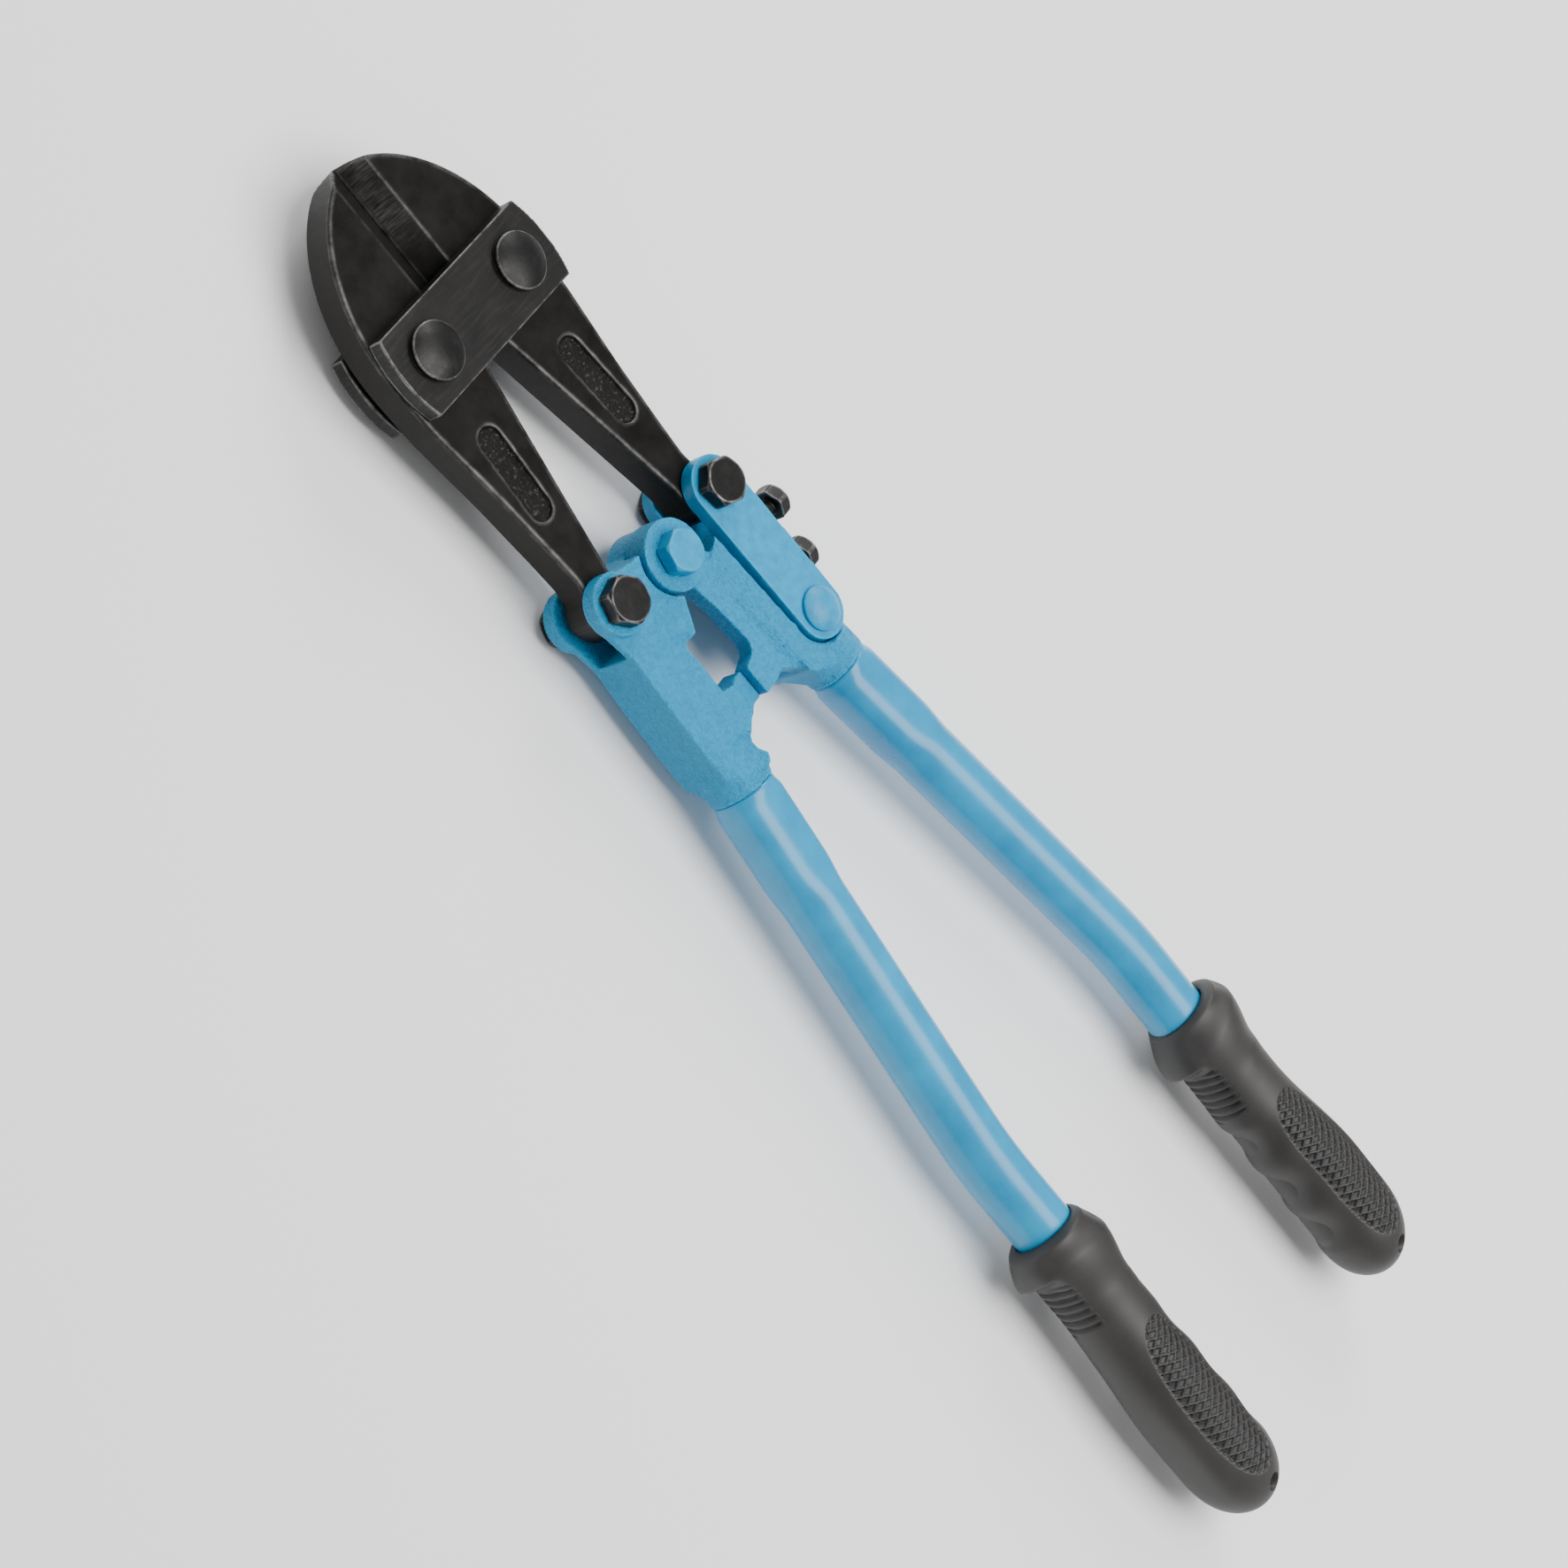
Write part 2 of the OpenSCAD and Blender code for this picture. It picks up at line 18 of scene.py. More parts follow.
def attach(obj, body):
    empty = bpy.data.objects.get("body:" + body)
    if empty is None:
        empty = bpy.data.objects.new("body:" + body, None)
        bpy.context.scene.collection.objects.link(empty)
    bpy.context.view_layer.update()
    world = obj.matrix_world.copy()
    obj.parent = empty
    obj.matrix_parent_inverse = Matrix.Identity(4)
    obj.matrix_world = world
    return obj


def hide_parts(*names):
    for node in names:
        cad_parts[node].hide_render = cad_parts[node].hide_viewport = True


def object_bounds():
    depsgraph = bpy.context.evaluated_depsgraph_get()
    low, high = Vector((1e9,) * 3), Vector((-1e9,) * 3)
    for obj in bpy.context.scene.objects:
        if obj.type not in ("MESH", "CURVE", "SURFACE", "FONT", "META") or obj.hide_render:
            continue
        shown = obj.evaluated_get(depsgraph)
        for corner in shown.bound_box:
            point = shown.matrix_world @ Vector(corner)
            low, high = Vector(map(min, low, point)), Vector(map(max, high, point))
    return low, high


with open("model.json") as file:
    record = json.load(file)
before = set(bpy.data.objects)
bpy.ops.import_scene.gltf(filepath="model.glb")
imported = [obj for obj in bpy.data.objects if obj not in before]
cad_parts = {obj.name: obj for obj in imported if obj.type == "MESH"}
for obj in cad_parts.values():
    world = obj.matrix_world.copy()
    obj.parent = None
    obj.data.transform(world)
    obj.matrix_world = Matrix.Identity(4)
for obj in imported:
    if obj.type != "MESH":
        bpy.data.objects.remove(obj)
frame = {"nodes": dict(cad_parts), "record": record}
cad_box = [list(c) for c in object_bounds()]
print("pieces in the frame:", len(frame["nodes"]))
print("overall box in metres:", cad_box)

# %% [markdown]
# The tool lies flat, +Y towards the blade tip and +Z up. Most sizes are easiest to write
# in millimetres round the centre pivot, so one helper moves such points into the frame.

# %% Pivot frame
MM = 0.001
NOSE_REACH = 136.704                             # from the centre pivot to the blade tip
PIVOT_Y = cad_box[1][1] * 1000 - NOSE_REACH
MID_Z = 16.0                                     # middle plane of the jaws


def to_frame(x, y, z):
    """Points in millimetres round the centre pivot, as an (n, 3) array in metres."""
    x, y, z = np.broadcast_arrays(x, y, z)
    return np.stack([x, y + PIVOT_Y, z + MID_Z], axis=-1).reshape(-1, 3) * MM


print("centre pivot at y =", round(PIVOT_Y, 2), "mm")

# %% [markdown]
# ## Camera, floor and light
# The tool is seen from high on its left front side with a long lens, so that its blades
# point up and to the left. The floor is plain and pale. A long soft light straight
# above, a smaller one from the blades' right and an even pale surrounding keep the
# shadows soft, and the long light gives the tubes their bright stripe.

# %% Camera
LENS, SENSOR, FAR = 85.4, 36, 20                 # millimetres, millimetres, metres
CAMERA_RIGHT = (0.4843, -0.602, 0.6349)          # where the right of the view points
CAMERA_BACK = (-0.5789, 0.3235, 0.7484)          # from the tool towards the camera
CAMERA_SPOT = (-610.7, 263.2, 772.2)             # millimetres from the centre pivot

camera_data = bpy.data.cameras.new("long_lens")
camera_data.lens = LENS
camera_data.sensor_width = SENSOR
camera_data.clip_end = FAR
camera = bpy.data.objects.new("camera", camera_data)
bpy.context.scene.collection.objects.link(camera)
right = Vector(CAMERA_RIGHT).normalized()
back = Vector(CAMERA_BACK)
back = (back - right * back.dot(right)).normalized()
up = back.cross(right)
spot = Vector(to_frame(*CAMERA_SPOT)[0])
camera.matrix_world = Matrix((
    (right.x, up.x, back.x, spot.x),
    (right.y, up.y, back.y, spot.y),
    (right.z, up.z, back.z, spot.z),
    (0, 0, 0, 1)))
bpy.context.scene.camera = camera
print("camera stands", round(spot.z, 3), "m above the floor")

# %% Floor
FLOOR_HALF, FLOOR_Z = 6, -0.0004                 # metres; a hair under the tool
corners = [(x * FLOOR_HALF, y * FLOOR_HALF, FLOOR_Z)
           for x, y in ((-1, -1), (1, -1), (1, 1), (-1, 1))]
floor_mesh = bpy.data.meshes.new("floor")
floor_mesh.from_pydata(corners, [], [(0, 1, 2, 3)])
floor = bpy.data.objects.new("floor", floor_mesh)
bpy.context.scene.collection.objects.link(floor)
floor_paint = bpy.data.materials.new("pale_floor")
floor_paint.use_nodes = True
floor_shader = floor_paint.node_tree.nodes["Principled BSDF"]
floor_shader.inputs["Base Color"].default_value = (0.93, 0.93, 0.93, 1)
floor_shader.inputs["Roughness"].default_value = 0.9
floor_shader.inputs["Specular IOR Level"].default_value = 0.1
floor_mesh.materials.append(floor_paint)
print("floor is", floor.dimensions.x, "m wide")


# %% Lights
def soft_light(name, place, aim, size, power):
    """An area light at place, facing aim (straight down if aim is None), of that size
    along X and Y before it turns, and that power in watts."""
    data = bpy.data.lights.new(name, "AREA")
    data.shape = "RECTANGLE"
    data.size, data.size_y = size
    data.energy = power
    lamp = bpy.data.objects.new(name, data)
    bpy.context.scene.collection.objects.link(lamp)
    lamp.location = place
    if aim:
        lamp.rotation_euler = (Vector(aim) - Vector(place)).to_track_quat("-Z", "Y").to_euler()
    return lamp


soft_light("key", (0.1, -0.4, 1.45), None, (0.95, 1.7), 38)
soft_light("side", (1.2, 1.0, 0.9), (0, 0, 0), (0.7, 1.0), 19)
SURROUND = 0.43                                  # strength of the even white around it
world = bpy.data.worlds.new("studio")
world.use_nodes = True
sky = world.node_tree.nodes["Background"]
sky.inputs["Color"].default_value = (1, 1, 1, 1)
sky.inputs["Strength"].default_value = SURROUND
bpy.context.scene.world = world

# %% [markdown]
# ## Shared effects
# Forged, cast and painted steel all show a little grain. The edges of the steel rub bright, and
# the edges of the blue paint get a painted highlight.
# Each effect is a small node group with named inputs, built once and placed in every
# material that needs it with its own values. The groups give out colours, masks and
# normals only; the shader itself stays in the material.


# %% Group helper
def new_group(name, inputs, outputs):
    """An empty shader node group with typed sockets, its input node and output node."""
    tree = bpy.data.node_groups.new(name, "ShaderNodeTree")
    for label, kind, value in inputs:
        socket = tree.interface.new_socket(name=label, in_out="INPUT", socket_type=kind)
        socket.default_value = value
    for label, kind in outputs:
        tree.interface.new_socket(name=label, in_out="OUTPUT", socket_type=kind)
    return tree, tree.nodes.new("NodeGroupInput"), tree.nodes.new("NodeGroupOutput")


def wire(tree, *pairs):
    """Joins each (output socket, input socket) pair."""
    for a, b in pairs:
        tree.links.new(a, b)


print("group helper ready")


# %% Texture helpers
def noise(tree, scale, detail=3.0, rough=0.55, vector=None):
    """A noise texture on object coordinates, its scale in features per metre."""
    node = tree.nodes.new("ShaderNodeTexNoise")
    node.inputs["Scale"].default_value = scale
    node.inputs["Detail"].default_value = detail
    node.inputs["Roughness"].default_value = rough
    if vector is None:
        vector = tree.nodes.new("ShaderNodeTexCoord").outputs["Object"]
    tree.links.new(vector, node.inputs["Vector"])
    return node


def stretch(tree, scale):
    """Object coordinates scaled by three numbers, for streaks."""
    mapping = tree.nodes.new("ShaderNodeMapping")
    mapping.inputs["Scale"].default_value = scale
    coords = tree.nodes.new("ShaderNodeTexCoord")
    tree.links.new(coords.outputs["Object"], mapping.inputs["Vector"])
    return mapping.outputs["Vector"]


def stored(tree, name):
    """The number that the mesh keeps for each vertex under that name."""
    node = tree.nodes.new("ShaderNodeAttribute")
    node.attribute_name = name
    return node.outputs["Fac"]


def ramp(tree, source, low, high):
    """Maps source so that low gives 0 and high gives 1, clamped."""
    node = tree.nodes.new("ShaderNodeMapRange")
    node.inputs["From Min"].default_value = low
    node.inputs["From Max"].default_value = high
    tree.links.new(source, node.inputs["Value"])
    return node.outputs["Result"]


def math_node(tree, kind, a, b):
    """One arithmetic node on two sockets or numbers."""
    node = tree.nodes.new("ShaderNodeMath")
    node.operation = kind
    for socket, value in zip(node.inputs, (a, b)):
        if isinstance(value, (int, float)):
            socket.default_value = value
        else:
            tree.links.new(value, socket)
    return node.outputs[0]


print("texture helpers ready")

# %% [markdown]
# ### Rubbed and highlit edges
# Oxide wears through first on corners, where other things touch the tool. The blue
# paint gets a painted highlight on the same corners. A shader can look for corners while
# it renders, but a finished model can't carry that. So each mesh keeps its own measured
# "edge" value, and the group breaks it up with noise, because a real edge wears in patches.


# %% Rubbed and highlit edges
def build_edge_wear_and_highlight():
    """Mask = stored edge sharpness times blotchy noise: 1 on an edge, which the steel finishes
    show as rubbed metal and the blue paint as a painted highlight.
    """
    tree, gin, gout = new_group(
        "rubbed_and_highlit_edges", [("Amount", "NodeSocketFloat", 1.0), ("Scale", "NodeSocketFloat", 260.0)],
        [("Mask", "NodeSocketFloat")])
    edge = stored(tree, "edge")
    blotch = noise(tree, 300, 4, 0.7)
    wire(tree, (gin.outputs["Scale"], blotch.inputs["Scale"]))
    patchy = ramp(tree, blotch.outputs["Fac"], 0.3, 0.78)
    edge_patches = math_node(tree, "MULTIPLY", edge, patchy)
    total = math_node(tree, "MULTIPLY", edge_patches, gin.outputs["Amount"])
    clamp = tree.nodes.new("ShaderNodeClamp")
    wire(tree, (total, clamp.inputs["Value"]), (clamp.outputs["Result"], gout.inputs["Mask"]))
    return tree


EDGE_WEAR_AND_HIGHLIGHT = build_edge_wear_and_highlight()
print("effect:", EDGE_WEAR_AND_HIGHLIGHT.name)

# %% [markdown]
# ### Grain
# A cast or forged skin is uneven at two scales at once. Moving the surface itself would
# take millions of faces, so a coarse and a fine noise tilt its normals instead.


# %% Skin grain
def build_grain():
    """Normal = bump of a coarse and a fine noise, for cast or forged skin."""
    tree, gin, gout = new_group(
        "skin_grain",
        [("Coarse", "NodeSocketFloat", 350.0), ("Fine", "NodeSocketFloat", 1500.0),
         ("Depth", "NodeSocketFloat", 0.3), ("Distance", "NodeSocketFloat", 0.0002)],
        [("Normal", "NodeSocketVector")])
    coarse, fine = noise(tree, 350, 3), noise(tree, 1500, 2)
    wire(tree, (gin.outputs["Coarse"], coarse.inputs["Scale"]),
         (gin.outputs["Fine"], fine.inputs["Scale"]))
    half = math_node(tree, "MULTIPLY", fine.outputs["Fac"], 0.5)
    height = math_node(tree, "ADD", coarse.outputs["Fac"], half)
    bump = tree.nodes.new("ShaderNodeBump")
    wire(tree, (gin.outputs["Depth"], bump.inputs["Strength"]),
         (gin.outputs["Distance"], bump.inputs["Distance"]), (height, bump.inputs["Height"]),
         (bump.outputs["Normal"], gout.inputs["Normal"]))
    return tree


GRAIN = build_grain()
print("effect:", GRAIN.name)

# %% [markdown]
# ### Mottled colour
# No coat has one flat colour: it is thicker here and thinner there. Slow noise drifts
# between two close shades, and the same noise can vary the gloss.


# %% Mottled colour
def build_mottle():
    """Colour = two colours mixed by slow noise, for the unevenness of any real coat."""
    tree, gin, gout = new_group(
        "mottled_colour",
        [("Light", "NodeSocketColor", (0.5, 0.5, 0.5, 1)),
         ("Dark", "NodeSocketColor", (0.4, 0.4, 0.4, 1)),
         ("Scale", "NodeSocketFloat", 60.0)],
        [("Color", "NodeSocketColor"), ("Fac", "NodeSocketFloat")])
    slow = noise(tree, 60, 5, 0.6)
    wire(tree, (gin.outputs["Scale"], slow.inputs["Scale"]))
    fac = ramp(tree, slow.outputs["Fac"], 0.3, 0.7)
    mix = tree.nodes.new("ShaderNodeMix")
    mix.data_type = "RGBA"
    wire(tree, (fac, mix.inputs["Factor"]), (gin.outputs["Dark"], mix.inputs[6]),
         (gin.outputs["Light"], mix.inputs[7]), (mix.outputs[2], gout.inputs["Color"]),
         (fac, gout.inputs["Fac"]))
    return tree


MOTTLE = build_mottle()
print("effects:", [g.name for g in bpy.data.node_groups])

# %% [markdown]
# ## Finishes
# Seven finishes cover the tool. Three are a blue powder coat: satin on the rough cast
# heads, glossier on the drawn tubes and between the two on the link and centre bolt.
# Three are an oxide on steel, which stays a metal: dark, with a soft sheen, and bright
# grey where edges rub. The last is the rubber of the grips.


# %% Material helper
def place(tree, group, **values):
    """Puts a shared effect in a material and sets its named inputs."""
    node = tree.nodes.new("ShaderNodeGroup")
    node.node_tree = group
    for label, value in values.items():
        node.inputs[label].default_value = value
    return node


def mix_colour(tree, fac, a, b):
    """Mixes colour a towards b by fac; a and b are sockets or colours."""
    node = tree.nodes.new("ShaderNodeMix")
    node.data_type = "RGBA"
    tree.links.new(fac, node.inputs["Factor"])
    for socket, value in ((node.inputs[6], a), (node.inputs[7], b)):
        if isinstance(value, tuple):
            socket.default_value = value
        else:
            tree.links.new(value, socket)
    return node.outputs[2]


def start_material(name, **fixed):
    """A new material with its uniform values set straight on the shader."""
    material = bpy.data.materials.new(name)
    material.use_nodes = True
    shader = material.node_tree.nodes["Principled BSDF"]
    for label, value in fixed.items():
        shader.inputs[label.replace("_", " ")].default_value = value
    return material, material.node_tree, shader


def scalar(tree, fac, low, high):
    """A number that runs from low to high as fac runs from 0 to 1."""
    node = tree.nodes.new("ShaderNodeMapRange")
    node.inputs["To Min"].default_value = low
    node.inputs["To Max"].default_value = high
    tree.links.new(fac, node.inputs["Value"])
    return node.outputs["Result"]


print("material helpers ready")

# %% [markdown]
# ### Blue powder coat
# Powder is sprayed on dry and melted, so it hides scratches but follows the skin of the
# casting below, and it is thin on the corners. Its corners are given a paler blue as a
# painted highlight. A painted image could hold all this, but noise on object coordinates
# needs no unwrapping and stays sharp close up. One function makes all three blues, which
# differ in grain, gloss and clear top layer.

# %% Blue powder coat
BLUE_LIGHT, BLUE_DARK = (0.0, 0.305, 0.56, 1), (0.0, 0.225, 0.44, 1)
BLUE_EDGE_HIGHLIGHT = (0.01, 0.40, 0.68, 1)                # painted highlight on the edges


def blue_coat(name, grain_depth, rough, coarse, fine, coat, blotch):
    """Powder paint: mottled blue, grainy normal, and a paler blue on the edges as a painted
    highlight.
    """
    material, tree, shader = start_material(name, Coat_Weight=coat, Coat_Roughness=0.24,
                                            Specular_IOR_Level=0.3)
    body = place(tree, MOTTLE, Light=BLUE_LIGHT, Dark=BLUE_DARK, Scale=blotch)
    edge_mask = place(tree, EDGE_WEAR_AND_HIGHLIGHT, Amount=0.55, Scale=320.0)
    skin = place(tree, GRAIN, Coarse=coarse, Fine=fine, Depth=grain_depth, Distance=0.0009)
    # the edge mask makes the blue paler there: a painted highlight
    colour = mix_colour(tree, edge_mask.outputs["Mask"], body.outputs["Color"], BLUE_EDGE_HIGHLIGHT)
    wire(tree, (colour, shader.inputs["Base Color"]),
         (scalar(tree, body.outputs["Fac"], rough, rough + 0.1), shader.inputs["Roughness"]),
         (skin.outputs["Normal"], shader.inputs["Normal"]))
    return material


CAST_BLUE = blue_coat("blue_cast_paint", 1.0, 0.4, 950.0, 2400.0, 0.0, 620.0)
TUBE_BLUE = blue_coat("blue_tube_paint", 0.015, 0.26, 300.0, 1600.0, 0.4, 60.0)
PLATE_BLUE = blue_coat("blue_plate_paint", 0.25, 0.34, 700.0, 2000.0, 0.1, 300.0)
print("blue finishes:", CAST_BLUE.name, TUBE_BLUE.name, PLATE_BLUE.name)

# %% [markdown]
# ### Black oxide
# Blackened steel is bare metal under a very thin dark skin. Black paint would look too
# flat, so the shader stays mostly metallic, with dark colours. Stretched noise gives the
# straps the fine lines that rolling and brushing leave.

# %% Black oxide
STREAK_GREY, BARE_STEEL = (0.05, 0.048, 0.046, 1), (0.5, 0.49, 0.48, 1)


def black_oxide(name, base, rough, streak, wear_amount, grain_depth):
    """Oxide on steel: dark metal, streaks along or across, grey metal on rubbed edges."""
    material, tree, shader = start_material(name, Metallic=0.6, Specular_IOR_Level=0.4)
    body = place(tree, MOTTLE, Light=tuple(1.35 * c for c in base) + (1,),
                 Dark=tuple(0.75 * c for c in base) + (1,), Scale=110.0)
    lines = noise(tree, 1.0, 4, 0.6, stretch(tree, streak))
    line_mask = ramp(tree, lines.outputs["Fac"], 0.5, 0.75)
    edge_mask = place(tree, EDGE_WEAR_AND_HIGHLIGHT, Amount=wear_amount, Scale=380.0)
    skin = place(tree, GRAIN, Coarse=520.0, Fine=2100.0, Depth=grain_depth, Distance=0.0002)
    streaked = mix_colour(tree, math_node(tree, "MULTIPLY", line_mask, 0.35),
                          body.outputs["Color"], STREAK_GREY)
    colour = mix_colour(tree, edge_mask.outputs["Mask"], streaked, BARE_STEEL)
    roughness = scalar(tree, math_node(tree, "MULTIPLY", line_mask, 0.5),
                       rough + 0.08, rough - 0.08)
    wire(tree, (colour, shader.inputs["Base Color"]), (roughness, shader.inputs["Roughness"]),
         (skin.outputs["Normal"], shader.inputs["Normal"]))
    return material


STRAP_BLACK = black_oxide("strap_steel", (0.012, 0.0112, 0.0108), 0.40,
                          (90, 900, 300), 0.5, 0.16)
BOLT_BLACK = black_oxide("fastener_steel", (0.011, 0.0103, 0.010), 0.34,
                         (250, 250, 250), 0.6, 0.3)
print("black finishes:", STRAP_BLACK.name, BOLT_BLACK.name)

# %% [markdown]
# ### Forged steel
# A jaw leaves the die with a dark scale. The band beside its cutting edge is then ground,
# which leaves brighter lines, while the floor of its sunk panel stays rough. Splitting
# the jaw into three materials would give hard borders, so two values kept in its mesh
# say how much of each there is.

# %% Forged steel
FORGED_LIGHT, FORGED_DARK = (0.0125, 0.0112, 0.0102, 1), (0.006, 0.0054, 0.0049, 1)
GROUND_GREY, SPECK_GREY = (0.085, 0.08, 0.076, 1), (0.09, 0.084, 0.08, 1)
FORGED_EDGE = (0.55, 0.54, 0.53, 1)


def forged_steel():
    """Jaw steel: oxide skin, a ground band with cross lines, rough pocket floors."""
    material, tree, shader = start_material("forged_steel", Metallic=0.6,
                                            Specular_IOR_Level=0.25)
    body = place(tree, MOTTLE, Light=FORGED_LIGHT, Dark=FORGED_DARK, Scale=120.0)
    ground, pocket = stored(tree, "ground"), stored(tree, "pocket")
    lines = noise(tree, 1.0, 3, 0.6, stretch(tree, (180, 2600, 180)))
    patch = noise(tree, 90, 3, 0.6)
    line_mask = math_node(tree, "MULTIPLY", ramp(tree, lines.outputs["Fac"], 0.38, 0.7),
                          ramp(tree, patch.outputs["Fac"], 0.35, 0.65))
    bright = math_node(tree, "MULTIPLY", line_mask, ground)
    edge_mask = place(tree, EDGE_WEAR_AND_HIGHLIGHT, Amount=0.2, Scale=160.0)
    spots = noise(tree, 900, 4, 0.75)
    speck = math_node(tree, "MULTIPLY", ramp(tree, spots.outputs["Fac"], 0.56, 0.68), pocket)
    colour = mix_colour(tree, bright, body.outputs["Color"], GROUND_GREY)
    colour = mix_colour(tree, speck, colour, SPECK_GREY)
    colour = mix_colour(tree, edge_mask.outputs["Mask"], colour, FORGED_EDGE)
    skin = place(tree, GRAIN, Coarse=600.0, Fine=2300.0, Depth=0.16, Distance=0.0002)
    deep = tree.nodes.new("ShaderNodeBump")
    deep.inputs["Distance"].default_value = 0.0006
    wire(tree, (math_node(tree, "MULTIPLY", pocket, 0.9), deep.inputs["Strength"]),
         (spots.outputs["Fac"], deep.inputs["Height"]),
         (skin.outputs["Normal"], deep.inputs["Normal"]),
         (colour, shader.inputs["Base Color"]),
         (scalar(tree, body.outputs["Fac"], 0.36, 0.5), shader.inputs["Roughness"]),
         (deep.outputs["Normal"], shader.inputs["Normal"]))
    return material


JAW_STEEL = forged_steel()
print("jaw finish:", JAW_STEEL.name)

# %% [markdown]
# ### Grip rubber
# Moulded rubber is dark and dull with a fine grain. Where the pattern is sunk, little light
# gets in, and that shade is painted into the colour. The pattern is real shape here, and
# its mesh keeps a value for the hollows that darkens the colour as painted shade.

# %% Grip rubber
RUBBER_LIGHT, RUBBER_DARK = (0.034, 0.0315, 0.0302, 1), (0.021, 0.0196, 0.0188, 1)
# painted shade for the pattern's sunk hollows
RUBBER_HOLLOW_SHADE = (0.0045, 0.0042, 0.004, 1)


def grip_rubber():
    """Moulded rubber: dark grey, fine grain, with painted shade in the pattern's hollows."""
    material, tree, shader = start_material("grip_rubber", Specular_IOR_Level=0.45)
    body = place(tree, MOTTLE, Light=RUBBER_LIGHT, Dark=RUBBER_DARK, Scale=45.0)
    skin = place(tree, GRAIN, Coarse=900.0, Fine=2600.0, Depth=0.12, Distance=0.0002)
    colour = mix_colour(tree, stored(tree, "hollow_shade"), body.outputs["Color"], RUBBER_HOLLOW_SHADE)
    wire(tree, (colour, shader.inputs["Base Color"]),
         (scalar(tree, body.outputs["Fac"], 0.46, 0.58), shader.inputs["Roughness"]),
         (skin.outputs["Normal"], shader.inputs["Normal"]))
    return material


RUBBER = grip_rubber()
print("rubber finish:", RUBBER.name)

# %% [markdown]
# ## Skins for forged and cast pieces
# The frame's heads, jaws and plates are right in size but have knife-sharp edges, while
# a forging or casting has soft ones. Bevelling each edge by hand would be fussy where
# many surfaces meet. Instead a merged copy is rebuilt on a fine even grid and smoothed a
# little: outer corners round over and inner corners fill, as in a mould. The same grid
# then carries an "edge" value, measured from how much each point stands proud.


# %% Mesh helpers
def put_right(mesh, join=0.0, outward=True):
    """Joins the points that lie within join metres, then turns every face outwards."""
    work = bmesh.new()
    work.from_mesh(mesh)
    if join:
        bmesh.ops.remove_doubles(work, verts=work.verts, dist=join)
    if outward:
        bmesh.ops.recalc_face_normals(work, faces=work.faces)
    work.to_mesh(mesh)
    work.free()


def shade_smooth(mesh):
    """Shades the whole mesh as one smooth surface."""
    mesh.polygons.foreach_set("use_smooth", np.ones(len(mesh.polygons), bool))


def in_scene(node, mesh):
    """A new object for that node's own surface, with the mesh."""
    piece = bpy.data.objects.new(node + "_skin", mesh)
    bpy.context.scene.collection.objects.link(piece)
    return piece


def merged_copy(node):
    """A new object with the node's triangles joined at their shared corners."""
    mesh = frame["nodes"][node].data.copy()
    mesh.materials.clear()
    put_right(mesh, join=2e-6, outward=False)
    return in_scene(node, mesh)


def baked(piece):
    """The piece with its modifiers applied to its mesh."""
    depsgraph = bpy.context.evaluated_depsgraph_get()
    mesh = bpy.data.meshes.new_from_object(piece.evaluated_get(depsgraph))
    piece.modifiers.clear()
    piece.data = mesh
    return piece


print("mesh helpers ready")


# %% Measure a surface
def arrays(mesh):
    """Vertex places (n, 3), vertex normals (n, 3) and edges (m, 2) as arrays."""
    n, m = len(mesh.vertices), len(mesh.edges)
    co, no, ed = np.zeros(n * 3), np.zeros(n * 3), np.zeros(m * 2, int)
    mesh.vertices.foreach_get("co", co)
    mesh.vertex_normals.foreach_get("vector", no)
    mesh.edges.foreach_get("vertices", ed)
    return co.reshape(-1, 3), no.reshape(-1, 3), ed.reshape(-1, 2)


def neighbour_mean(values, edges, count):
    """Mean of each vertex's neighbours, by adding along every edge both ways."""
    total = np.zeros_like(values)
    np.add.at(total, edges[:, 0], values[edges[:, 1]])
    np.add.at(total, edges[:, 1], values[edges[:, 0]])
    return total / np.maximum(count, 1).reshape((-1,) + (1,) * (values.ndim - 1))


def store(mesh, name, values):
    """Keeps one number per vertex in the mesh, for a material to read."""
    layer = mesh.attributes.get(name) or mesh.attributes.new(name, "FLOAT", "POINT")
    layer.data.foreach_set("value", np.clip(values, 0, 1).astype(np.float32))


SPREAD_ROUNDS = 5                                # how far a rubbed edge reaches inwards


def measure_edges(mesh, low, high):
    """Edge value: how far a vertex stands out of its neighbours along its normal,
    over the grid spacing, spread evenly, and scaled so low gives 0 and high gives 1."""
    co, no, ed = arrays(mesh)
    count = np.bincount(ed.ravel(), minlength=len(co))
    step = np.linalg.norm(co[ed[:, 0]] - co[ed[:, 1]], axis=1).mean()
    proud = ((co - neighbour_mean(co, ed, count)) * no).sum(1) / step
    for _ in range(SPREAD_ROUNDS):
        proud = 0.5 * proud + 0.5 * neighbour_mean(proud, ed, count)
    store(mesh, "edge", (proud - low) / (high - low))


print("edges spread over", SPREAD_ROUNDS, "rounds")

# %% Skin a piece
body_of = {n: b for b, ns in frame["record"]["behaviour"]["bodies"].items() for n in ns}


def dress(piece, node, material):
    """Gives a finished piece its material and body, in place of its frame node."""
    piece.data.materials.append(material)
    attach(piece, body_of[node])
    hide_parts(node)
    return piece


def soften(piece, rounds):
    """A smoothing step that moves each point half way to its neighbours' mean."""
    smooth = piece.modifiers.new("soften", "SMOOTH")
    smooth.factor = 0.5
    smooth.iterations = rounds


def skin(node, material, grid, rounds, low=0.012, high=0.06):
    """Copy, rebuild on a grid of the given millimetres, smooth, measure and dress."""
    piece = merged_copy(node)
    remesh = piece.modifiers.new("grid", "REMESH")
    remesh.mode = "VOXEL"
    remesh.voxel_size = grid * MM
    remesh.use_smooth_shade = True
    soften(piece, rounds)
    baked(piece)
    measure_edges(piece.data, low, high)
    shade_smooth(piece.data)
    return dress(piece, node, material)


